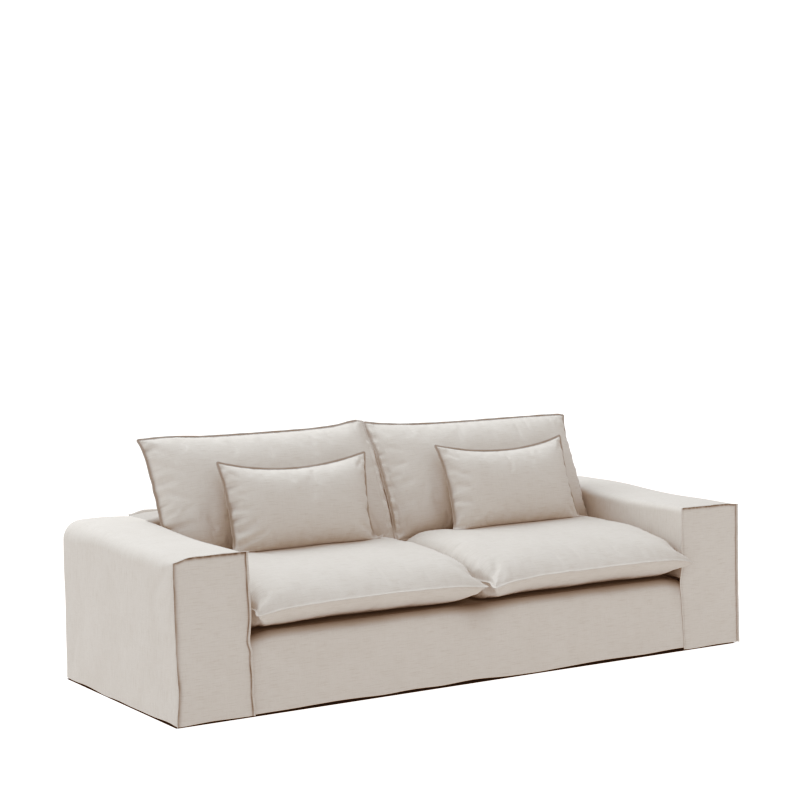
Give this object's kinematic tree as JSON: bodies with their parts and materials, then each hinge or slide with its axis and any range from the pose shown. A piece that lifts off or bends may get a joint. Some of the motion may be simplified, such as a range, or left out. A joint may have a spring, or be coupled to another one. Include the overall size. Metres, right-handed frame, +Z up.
{
  "type": "sofa slipcover",
  "caption": "Loose linen cover of a wide low sofa: hollow frame cover with block arms and a front apron, open below, and its filled seat, back and lumbar cushions.",
  "frame": {"origin": "on the floor, under the middle of the whole cover", "axes": "+X along the length, to the right of someone who faces the seats; +Y to the rear; +Z up"},
  "size_m": [2.4418, 1.0366, 0.9055],
  "materials": {
    "linen": "matt, pale greige, fine slubby plain weave"
  },
  "bodies": {
    "root": {"arm_left_front": "linen", "arm_left_wrap": "linen", "arm_right_front": "linen", "arm_right_wrap": "linen", "front_apron": "linen", "seat_deck": "linen", "inside_back": "linen", "outside_back": "linen", "seat_cushion_left": "linen", "seat_cushion_right": "linen", "back_cushion_left": "linen", "back_cushion_right": "linen", "lumbar_cushion_left": "linen", "lumbar_cushion_right": "linen"}
  },
  "joints": []
}
